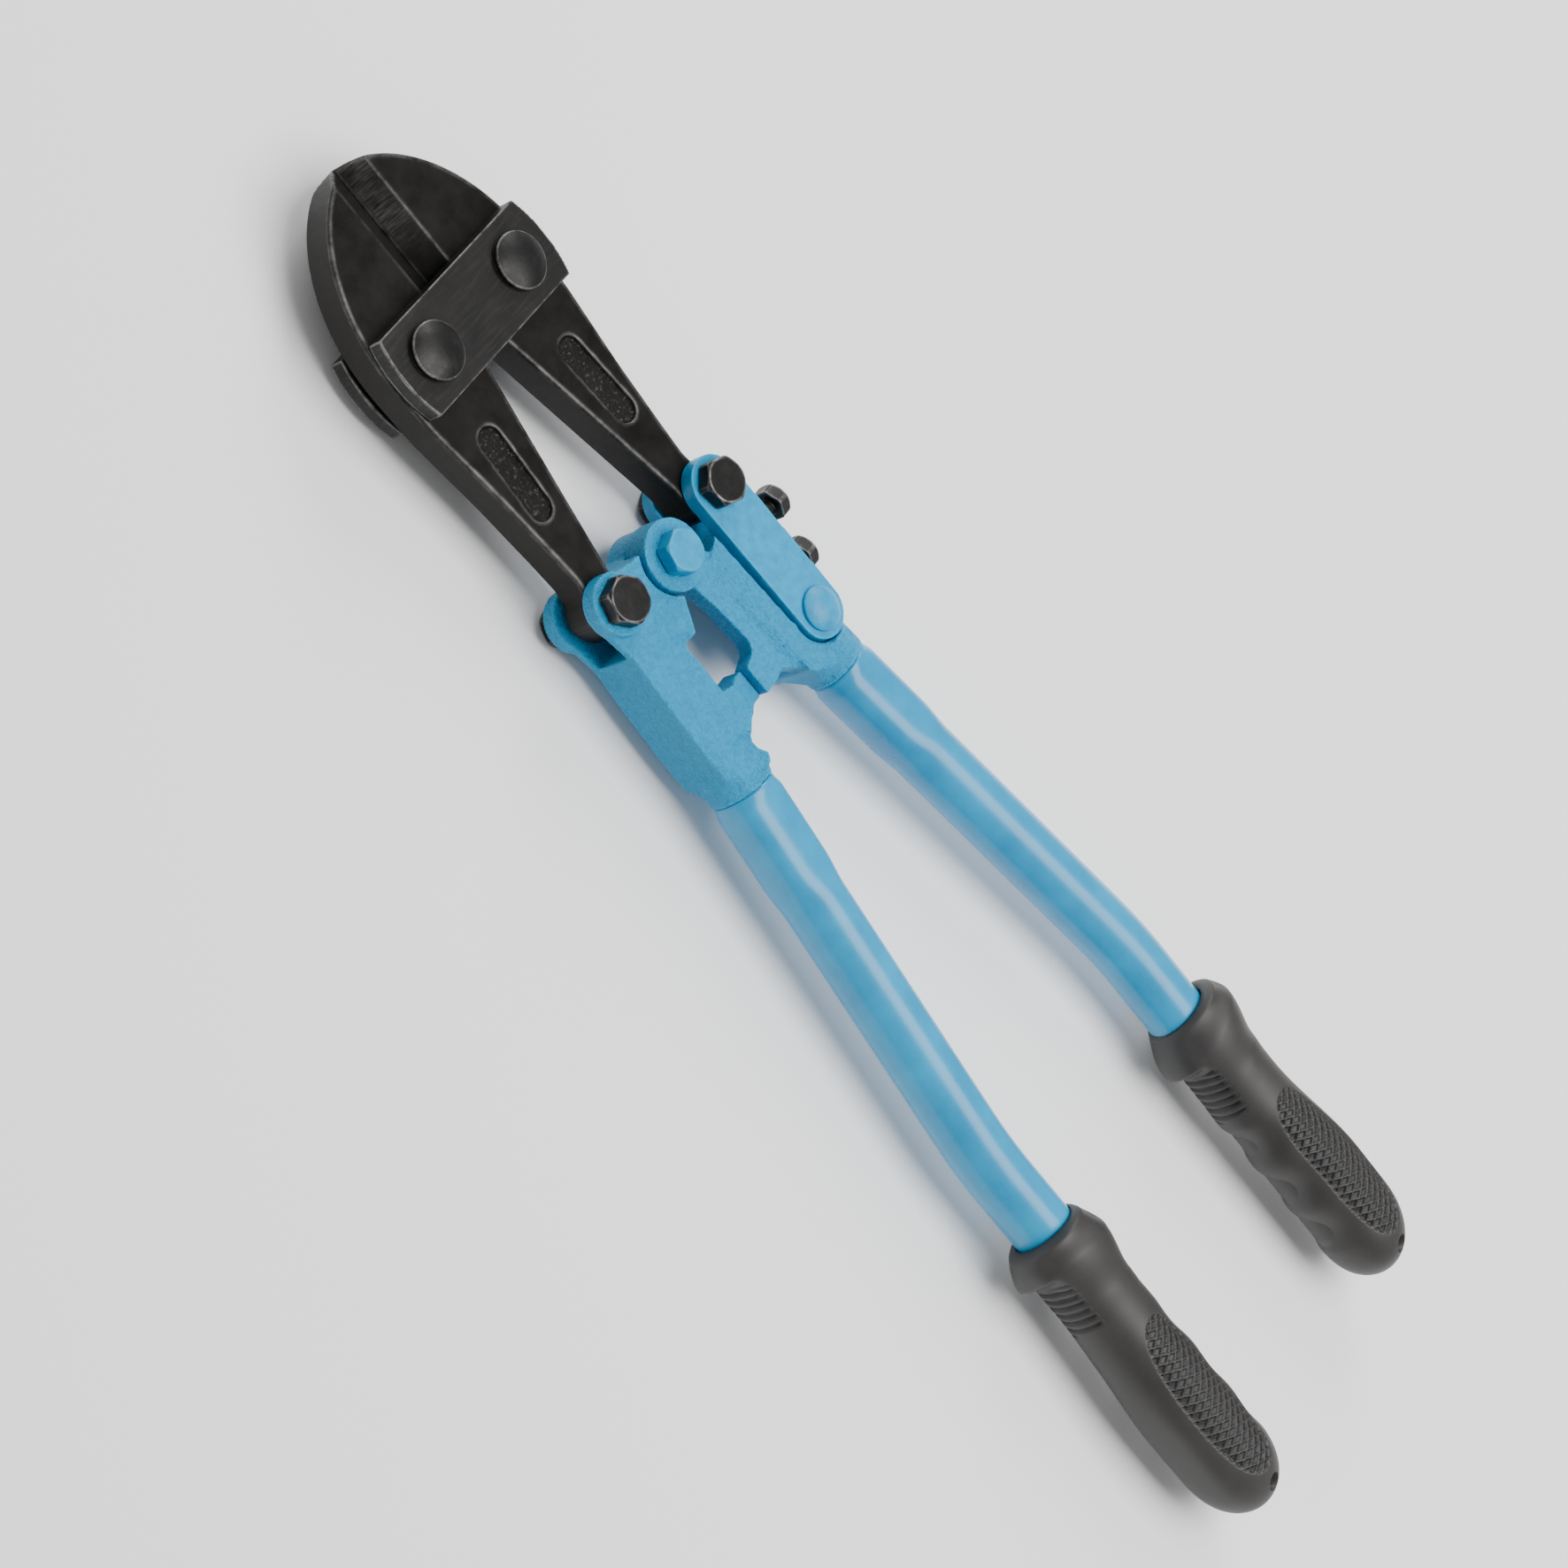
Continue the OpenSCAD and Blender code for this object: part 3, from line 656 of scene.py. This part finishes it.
print("bodies:", sorted(set(body_of.values())))

# %% [markdown]
# ## Jaws
# Each jaw is a forging with a bevel ground along the blade on both faces and a sunk
# panel in its tail. The grid skin gives the soft forged corners. Two more values are
# stored: "ground" on the bevel and "pocket" on the panel's floor, for the finish.


# %% Jaw corners
HALF_JAW = 6.0                                   # half of a jaw's thickness
BLADE_FROM = 80.0                                # past this the inner side is the blade
FRONT, BACK = (1, 0.7, 0.6), (-1, 1.9, 1.3)      # side, outer chamfer, inner chamfer


def side_lines(x, y):
    """Outer and inner edge of a jaw as functions of y: the largest and smallest x met
    in each millimetre, smoothed over three, then read off between them. Returns how
    far each point is from either."""
    bins = np.round(y).astype(int)
    low = bins.min()
    outer = np.full(bins.max() - low + 1, -1e3)
    inner = np.full(len(outer), 1e3)
    np.maximum.at(outer, bins - low, x)
    np.minimum.at(inner, bins - low, x)
    outer, inner = (np.convolve(np.pad(line, 1, "edge"), np.ones(3) / 3, "valid")
                    for line in (outer, inner))
    strip = np.arange(len(outer)) + float(low)
    slope = np.hypot(1, np.gradient(outer, 1.0))
    to_outer = (np.interp(y, strip, outer) - x) / np.interp(y, strip, slope)
    return to_outer, x - np.interp(y, strip, inner)


def jaw_places(mesh, side):
    """Millimetres round the centre pivot, with x growing outwards on both jaws."""
    co, no, _ = arrays(mesh)
    return co, no, side * co[:, 0] / MM, co[:, 1] / MM - PIVOT_Y, co[:, 2] / MM - MID_Z


def forge_corners(mesh, side):
    """Moves the faces' rims towards the middle plane: where a point is nearer than c to
    a side, its height is kept within half the thickness less what is missing of c."""
    co, _, x, y, z = jaw_places(mesh, side)
    outer, inner = side_lines(x, y)
    inner = np.where(y > BLADE_FROM, 99.0, inner)
    for sign, c_out, c_in in (FRONT, BACK):
        gap = np.maximum(np.clip(c_out - np.maximum(outer, 0), 0, None),
                         np.clip(c_in - np.maximum(inner, 0), 0, None))
        limit = HALF_JAW - gap
        z = np.where(sign * z > limit, sign * limit, z)
    co[:, 2] = (z + MID_Z) * MM
    mesh.vertices.foreach_set("co", co.ravel().astype(np.float32))
    mesh.update()


print("jaw corners:", FRONT, BACK)

# %% Jaws
BAND_X, BAND_WIDTH = 0.6, 6.6                    # the ground band beside the blade's edge
BAND_FROM, BAND_FADE = 104, 14                   # where it starts along the jaw
POCKET_X, POCKET_Y, POCKET_TURN = 21.0, 47.2, math.radians(4)
POCKET_HALF, POCKET_R, POCKET_FLOOR = 11, 4.2, 5.6


def ground_band(x, y, z, bright):
    """1 on a strip beside the blade's edge, fading in along the jaw, times bright."""
    streak = (x - BAND_X) / BAND_WIDTH
    band = np.clip((1 - streak) / 0.15, 0, 1) * np.clip(streak / 0.08, 0, 1) * (z > 0.9)
    return band * np.clip((y - BAND_FROM) / BAND_FADE, 0, 1) * bright


def pocket_floor(x, y, z, facing):
    """1 inside a turned slot with round ends, on the floor sunk below the faces."""
    sine, cosine = math.sin(POCKET_TURN), math.cos(POCKET_TURN)
    along = (x - POCKET_X) * -sine + (y - POCKET_Y) * cosine
    across = (x - POCKET_X) * cosine + (y - POCKET_Y) * sine
    reach = np.hypot(across, np.maximum(np.abs(along) - POCKET_HALF, 0))
    return np.clip((POCKET_R - reach) / 0.6, 0, 1) * (z < POCKET_FLOOR) * (facing > 0.3)


def dress_jaw(node, side, bright):
    """Skins a jaw, takes its corners down and stores its ground band and pocket floor."""
    piece = skin(node, JAW_STEEL, 0.42, 1)
    forge_corners(piece.data, side)
    soften(piece, 4)
    baked(piece)
    measure_edges(piece.data, 0.012, 0.045)
    _, no, x, y, z = jaw_places(piece.data, side)
    z = np.abs(z)
    store(piece.data, "ground", ground_band(x, y, z, bright))
    store(piece.data, "pocket", pocket_floor(x, y, z, np.abs(no[:, 2])))
    return piece


jaws = [dress_jaw("left_jaw", -1, 0.12), dress_jaw("right_jaw", 1, 1.0)]
print("jaw faces:", [len(j.data.polygons) for j in jaws])

# %% [markdown]
# ## Plates, link and bolts
# The same skin with a finer grid keeps the crisp look of rolled plate and of turned and
# headed fasteners.

# %% Plates, link and bolts
# finish, grid in millimetres, rounds of smoothing, pieces
SMALL_PIECES = (
    (STRAP_BLACK, 0.3, 2, ("front_plate", "back_plate")),
    (BOLT_BLACK, 0.22, 2, ("plate_bolts", "plate_nuts", "left_jaw_bolt", "left_jaw_nut",
                           "right_jaw_bolt", "right_jaw_nut", "front_adjusting_screw",
                           "rear_adjusting_screw", "screw_lock_nuts")),
    (PLATE_BLUE, 0.3, 5, ("link_plate_front", "link_plate_back")),
    (PLATE_BLUE, 0.25, 4, ("link_spacer", "link_rivet", "centre_bolt", "centre_nut")))
small = [skin(node, finish, grid, rounds)
         for finish, grid, rounds, nodes in SMALL_PIECES for node in nodes]
print("small pieces skinned:", len(small))

# %% [markdown]
# ## Cast heads
# The two heads are steel castings under thick paint, so their corners are the softest on
# the tool, and the grid skin is smoothed the most.

# %% Heads
heads = [skin(node, CAST_BLUE, 0.4, 13, low=0.02, high=0.07)
         for node in ("left_handle_head", "right_handle_head")]
print("head faces:", [len(h.data.polygons) for h in heads])

# %% [markdown]
# ## Surfaces on a grid
# The tubes and grips are worked out as whole grids of points. One helper turns a grid of
# rows (each a closed ring) into a mesh, closing its two ends with one point each.


# %% Grid to mesh
def ring_mesh(name, rings, close_ends=True):
    """rings is (rows, columns, 3) in metres; neighbours are joined by quads, and the
    first and last ring are closed by a fan to their middle if close_ends is on."""
    rows, cols = rings.shape[:2]
    a = np.arange(rows - 1)[:, None] * cols + np.arange(cols)[None, :]
    b = np.arange(rows - 1)[:, None] * cols + (np.arange(cols)[None, :] + 1) % cols
    quads = np.stack([a, b, b + cols, a + cols], -1).reshape(-1, 4)
    points = rings.reshape(-1, 3)
    faces = quads.tolist()
    if close_ends:
        middle = np.array([rings[0].mean(0), rings[-1].mean(0)])
        points = np.vstack([points, middle])
        k = np.arange(cols)
        first, last = rows * cols, rows * cols + 1
        faces += np.stack([(k + 1) % cols, k, np.full(cols, first)], 1).tolist()
        top = (rows - 1) * cols
        faces += np.stack([top + k, top + (k + 1) % cols, np.full(cols, last)], 1).tolist()
    mesh = bpy.data.meshes.new(name)
    mesh.from_pydata(points, [], faces)
    shade_smooth(mesh)
    put_right(mesh)
    return mesh


def smooth_step(t):
    """0 before 0, 1 after 1, and an S curve between."""
    t = np.clip(t, 0, 1)
    return t * t * (3 - 2 * t)


print("grid helpers ready")

# %% [markdown]
# ## Tube handles
# A drawn tube leaves the head at a slight splay and bends back until both handles run
# side by side. Near the head it is pressed on to the tang, so it is a little flatter and
# wider and squarer there. The surface is a ring carried along the centre line, and the
# ring's height, width and squareness change along it.

# %% Tube sizes
SPLAY, RUN, BEND_R, BARE = math.radians(7.8), 118.0, 150.0, 18.0
FERRULE = (27.0, -61.0)                          # where the tube meets the head
HANDLE_Z, TUBE_R, TUBE_WALL = 1.4, 9.5, 2.0
GRIP_LEN, GRIP_SOLID = 112.5, 19.3               # the last part has no tube inside
PRESS_WIDE, PRESS_FLAT, PRESS_SQUARE = 0.15, 0.45, 0.65
GRIP_X = FERRULE[0] + RUN * math.sin(SPLAY) + BEND_R * (1 - math.cos(SPLAY))
BEND_END = FERRULE[1] - RUN * math.cos(SPLAY) - BEND_R * math.sin(SPLAY)
GRIP_Y = BEND_END - BARE
TUBE_END = BARE + GRIP_LEN - GRIP_SOLID
print("grip centre line at x =", round(GRIP_X, 2), "and its mouth at y =", round(GRIP_Y, 2))


# %% Tubes
def tube_line(s):
    """Centre line at distance s from the ferrule: straight, an arc, then straight.
    Returns x, y and the angle by which the line still splays."""
    arc = BEND_R * SPLAY
    s1, s2 = np.minimum(s, RUN), np.clip(s - RUN, 0, arc)
    s3 = np.maximum(s - RUN - arc, 0)
    turned = s2 / BEND_R
    angle = SPLAY - turned
    x = FERRULE[0] + s1 * math.sin(SPLAY) + BEND_R * (np.cos(angle) - math.cos(SPLAY))
    y = FERRULE[1] - s1 * math.cos(SPLAY) - BEND_R * (math.sin(SPLAY) - np.sin(angle)) - s3
    return x, y, angle


def tube_mesh(side, name):
    """Outer skin down the tube, then the bore back up, as one closed sleeve. A ring's
    width and height are cosine and sine to a power below 1 where it is pressed."""
    length = RUN + BEND_R * SPLAY + TUBE_END
    s = np.concatenate([np.linspace(0, 46, 70), np.linspace(47, length, 150)])
    press = smooth_step((s - 1) / 4) * (1 - smooth_step((s - 26) / 12))
    theta = np.linspace(0, 2 * np.pi, 120, endpoint=False)
    wide = (TUBE_R + PRESS_WIDE * press)[:, None]
    high = (TUBE_R - PRESS_FLAT * press)[:, None]
    power = (2 / (2 + PRESS_SQUARE * press))[:, None]
    lip = (1 - 0.04 * np.clip(1 - s / 0.5, 0, 1))[:, None]
    grid_s, grid_t = np.meshgrid(s, theta, indexing="ij")
    x, y, angle = tube_line(grid_s)
    a = lip * wide * np.sign(np.cos(grid_t)) * np.abs(np.cos(grid_t)) ** power
    b = lip * high * np.sign(np.sin(grid_t)) * np.abs(np.sin(grid_t)) ** power
    outer = to_frame(side * (x + a * np.cos(angle)), y + a * np.sin(angle), HANDLE_Z + b)
    outer = outer.reshape(len(s), len(theta), 3)
    bore_s, bore_t = np.meshgrid(s[::-1], theta, indexing="ij")
    x, y, angle = tube_line(bore_s)
    r = TUBE_R - TUBE_WALL
    bore = to_frame(side * (x + r * np.cos(bore_t) * np.cos(angle)),
                    y + r * np.cos(bore_t) * np.sin(angle), HANDLE_Z + r * np.sin(bore_t))
    bore = bore.reshape(len(s), len(theta), 3)
    mesh = ring_mesh(name, np.concatenate([outer, bore, outer[:1]]), close_ends=False)
    put_right(mesh, join=1e-7)
    store(mesh, "edge", np.zeros(len(mesh.vertices)))
    return mesh


tubes = [dress(in_scene(node, tube_mesh(side, node)), node, TUBE_BLUE)
         for side, node in ((-1, "left_tube"), (1, "right_tube"))]
print("tube faces:", [len(t.data.polygons) for t in tubes])

# %% [markdown]
# ## Grips
# A grip is moulded over the tube: a flared collar at its mouth that guards the hand, a
# waist, then a fuller body that leans outwards. Its inner side has finger hollows, the
# two narrow sides carry short cross grooves under the collar, and each face has a long
# oval panel of crossed ridges. A hole through the end takes a hook. All of it is one
# radius as a function of the angle round the grip and the distance below the mouth.


# %% Grip shape
def between(s, stops):
    """Smooth curve through (distance, value) stops, by S steps from one to the next."""
    value = np.full_like(s, stops[0][1])
    for (s0, v0), (s1, v1) in zip(stops, stops[1:]):
        value = value + (v1 - v0) * smooth_step((s - s0) / (s1 - s0))
    return value


def crest_line(t):
    """How far below the mouth the collar is widest, at each angle round the grip."""
    return 11.5 - 4.0 * np.cos(t - math.radians(40))


print("collar is widest", crest_line(0.0).round(1), "to", crest_line(math.pi).round(1), "mm down")

# %% [markdown]
# ### The plain grip
# The collar has a sharp rim on the grip's narrow sides and flows into the waist on its
# faces. Two profiles along the grip, a cup and a bell, are blended by the angle round
# it, which keeps the sharp and the smooth part in one unbroken skin.

# %% Grip body
CREST = 13.0                                     # the crest's place after evening out
FINGERS_FROM, FINGERS_TO, FINGER_PITCH, FINGER_DEPTH = 38, 92, 19.0, 2.0
END_ROUND = 24                                   # length over which the end rounds off


def body_radius(s, t):
    """Radius of the plain grip at distance s and angle t, where t = 0 points away from
    the other grip and t = 90 degrees out of the front face: a cup with a sharp rim on
    the narrow sides, blended into a smooth bell on the faces, less the finger hollows
    on the inner side, and rounded off at the end."""
    lean = np.where(np.cos(t) > 0, 0.35, -0.35)
    narrow = smooth_step((np.abs(np.cos(t + lean)) - 0.5) / 0.4)
    crest = crest_line(t)
    q = np.where(s < crest, s * CREST / crest, CREST + s - crest)
    cup = (16.3 - 4.6 * (1 - np.clip(q / 12.4, 0, 1)) ** 1.6
           - 4.0 * smooth_step((q - 12.4) / 3.4))
    cup = cup + 0.7 * smooth_step((q - 26) / 20)
    bell = between(q, [(-2, 11.4), (2.5, 12.8), (12, 15.3), (27, 12.9), (34, 12.6)])
    rise = between(s, [(30, 0), (72, 1.9)])
    r = bell + (cup - bell) * narrow + rise - 0.5 * narrow * smooth_step((s - 30) / 30)
    inner = np.exp(-((np.mod(t - 0.35, 2 * math.pi) - math.pi) / 1.0) ** 2)
    wave = 0.5 - 0.5 * np.cos(2 * math.pi * (s - FINGERS_FROM) / FINGER_PITCH)
    fingers = (wave * smooth_step((s - FINGERS_FROM) / 3)
               * (1 - smooth_step((s - FINGERS_TO) / 4)))
    r = r - FINGER_DEPTH * inner * (0.25 + fingers) * smooth_step((s - 34) / 10)
    end = np.clip((s - (GRIP_LEN - END_ROUND)) / END_ROUND, 0, 1)
    return r * np.sqrt(np.clip(1 - end ** 2.6, 0, 1))


print("finger hollows every", FINGER_PITCH, "mm,", FINGER_DEPTH, "mm deep")

# %% [markdown]
# ### The grip's pattern
# The mould cuts grooves across the narrow sides and an oval of crossed ridges in each
# face, so that a wet hand doesn't slip. They are deep enough to show in the outline, so
# they are worked into the radius rather than into a bump.

# %% Grip pattern
RIB_PITCH, RIB_DEPTH, RIBS_FROM, RIBS_TO = 2.9, 1.05, 3.4, 21
OVAL_MID, OVAL_HALF, OVAL_HALF_WIDTH = 68.5, 30.6, 9.6
RIDGE_PITCH, RIDGE_SLANT, FACE_R = 3.0, 0.6, 14.0
OVAL_DEPTH, RIDGE_HEIGHT = 0.85, 0.75


def side_grooves(s, t):
    """1 in the cross grooves of the narrow sides, by a wave along the grip."""
    lean = np.where(np.cos(t) > 0, 0.05, -0.05)
    side_face = smooth_step((np.cos(t + lean) ** 2 - 0.5) / 0.16)
    wave = 0.5 + 0.5 * np.cos(2 * math.pi * (s - 18.2) / RIB_PITCH)
    below = s - crest_line(t)
    zone = (side_face * smooth_step((below - RIBS_FROM) / 0.8)
            * (1 - smooth_step((below - RIBS_TO) / 0.8)))
    return (1 - smooth_step((wave - 0.35) / 0.3)) * zone


def face_panel(s, t):
    """The oval's mask and its ridges: two sets of slanting lines, each 1 on the line."""
    across = np.arcsin(np.clip(np.cos(t), -1, 1)) * FACE_R
    shape = np.abs((s - OVAL_MID) / OVAL_HALF) ** 3.0 + np.abs(across / OVAL_HALF_WIDTH) ** 2.3
    oval = smooth_step((1 - shape) / 0.10) * (np.abs(np.sin(t)) > 0.5)
    lines = [1 - np.abs(np.mod((s + k * across) / RIDGE_PITCH, 1) - 0.5) * 2
             for k in (-RIDGE_SLANT, RIDGE_SLANT)]
    return oval, np.maximum(*[smooth_step((0.30 - line) / 0.2) for line in lines])


def grip_radius(s, t):
    """Radius in millimetres with the pattern sunk into it, and the mask of its hollows, which the
    rubber darkens as painted shade.
    """
    groove = side_grooves(s, t)
    oval, ridge = face_panel(s, t)
    r = body_radius(s, t) - RIB_DEPTH * groove - oval * (OVAL_DEPTH - RIDGE_HEIGHT * ridge)
    return r, np.maximum(0.9 * groove, oval * (1 - ridge))


print("panel is", 2 * OVAL_HALF, "by", 2 * OVAL_HALF_WIDTH, "mm")

# %% [markdown]
# ### Grip skin
# The grip is one sleeve, closed at its far end: from the bottom of the bore up to the
# mouth, over the lip and down the outside to the rounded tip.

# %% Grips
REACH, REACH_SOFT = 15, 2.4                      # keeps the grip within the tool's width


def grip_centre(s):
    """Offset of the grip's own middle from the tube: outwards and up, growing along it."""
    grow, fade = smooth_step((s - 35) / 40), smooth_step((s - 88) / 22)
    return 1.5 + 2.1 * grow - 0.6 * fade, 0.8 + 0.7 * grow - 0.8 * fade


def grip_mesh(side, name):
    """Rings from the end of the bore, up to the mouth, over its lip and down the outside."""
    t = np.linspace(0, 2 * np.pi, 250, endpoint=False)
    depth = GRIP_LEN - GRIP_SOLID
    bore_s = np.linspace(depth, 0.8, 20)
    tip_s = GRIP_LEN - 0.2 - 8 * (1 - np.sin(np.linspace(0, np.pi / 2, 26)[1:-1]))
    skin_s = np.concatenate([np.linspace(0.0, 36, 106),
                             np.linspace(36.3, GRIP_LEN - 8.2, 208), tip_s])
    bs, bt = np.meshgrid(bore_s, t, indexing="ij")
    bore_r = TUBE_R + 0.06
    bore = to_frame(side * (GRIP_X + bore_r * np.cos(bt)), GRIP_Y - bs,
                    HANDLE_Z + bore_r * np.sin(bt))
    ss, st = np.meshgrid(skin_s, t, indexing="ij")
    r, hollow_shade = grip_radius(ss, st)
    lip = np.clip(ss / 1.6, 0, 1)
    cx, cz = grip_centre(ss)
    mouth = (TUBE_R + 0.5) + (r - TUBE_R - 0.5) * np.sqrt(1 - (1 - lip) ** 2)
    blend = np.clip(lip + 0.3, 0, 1)
    tilt = 2.0 * np.cos(st - math.radians(40)) * (1 - smooth_step(ss / 14))
    reach = cx * blend + mouth * np.cos(st)
    soft = REACH + REACH_SOFT * np.tanh((reach - REACH) / REACH_SOFT)
    reach = np.where(reach > REACH, soft, reach)
    outer = to_frame(side * (GRIP_X + reach), GRIP_Y - ss + 0.6 * tilt,
                     HANDLE_Z + cz * blend + mouth * np.sin(st))
    rings = np.concatenate([bore, outer]).reshape(-1, len(t), 3)
    mesh = ring_mesh(name, rings)
    # the hollows' mask is kept for the rubber's painted shade
    store(mesh, "hollow_shade", np.concatenate([np.zeros(bs.size), hollow_shade.ravel(), [0, 0]]))
    return mesh


# %% [markdown]
# ### Hang holes
# A hole through the tip lets the tool hang on a hook. A sheet of points can't have a
# hole in its middle, so a round pin is taken away from the finished grip instead.

# %% Hang holes
HOLE_R, HOLE_DOWN = 2.8, 105.0                   # radius, and distance below the mouth
HOLE_OUT = 0.9 + HOLE_DOWN * math.sin(math.radians(1.3))
PIN_SIDES = 48


def cut_hang_hole(piece, side):
    """Takes a round pin away through the end of the grip."""
    ring = np.linspace(0, 2 * np.pi, PIN_SIDES, endpoint=False)
    zz, tt = np.meshgrid([-30.0, 30.0], ring, indexing="ij")
    pin = to_frame(side * (GRIP_X + HOLE_OUT) + HOLE_R * np.cos(tt),
                   GRIP_Y - HOLE_DOWN + HOLE_R * np.sin(tt), zz)
    mesh = ring_mesh("pin", pin.reshape(2, PIN_SIDES, 3))
    cutter = bpy.data.objects.new("pin", mesh)
    bpy.context.scene.collection.objects.link(cutter)
    cut = piece.modifiers.new("hang_hole", "BOOLEAN")
    cut.operation = "DIFFERENCE"
    cut.solver = "EXACT"
    cut.object = cutter
    baked(piece)
    bpy.data.objects.remove(cutter)
    return piece


grips = []
for side, node in ((-1, "left_grip"), (1, "right_grip")):
    piece = dress(in_scene(node, grip_mesh(side, node)), node, RUBBER)
    grips.append(cut_hang_hole(piece, side))
print("grip faces:", [len(g.data.polygons) for g in grips])

# %% [markdown]
# ## Frame box
# The overall box of the frame is printed at the end.

# %% Sizes and finish
print("frame box ", cad_box)
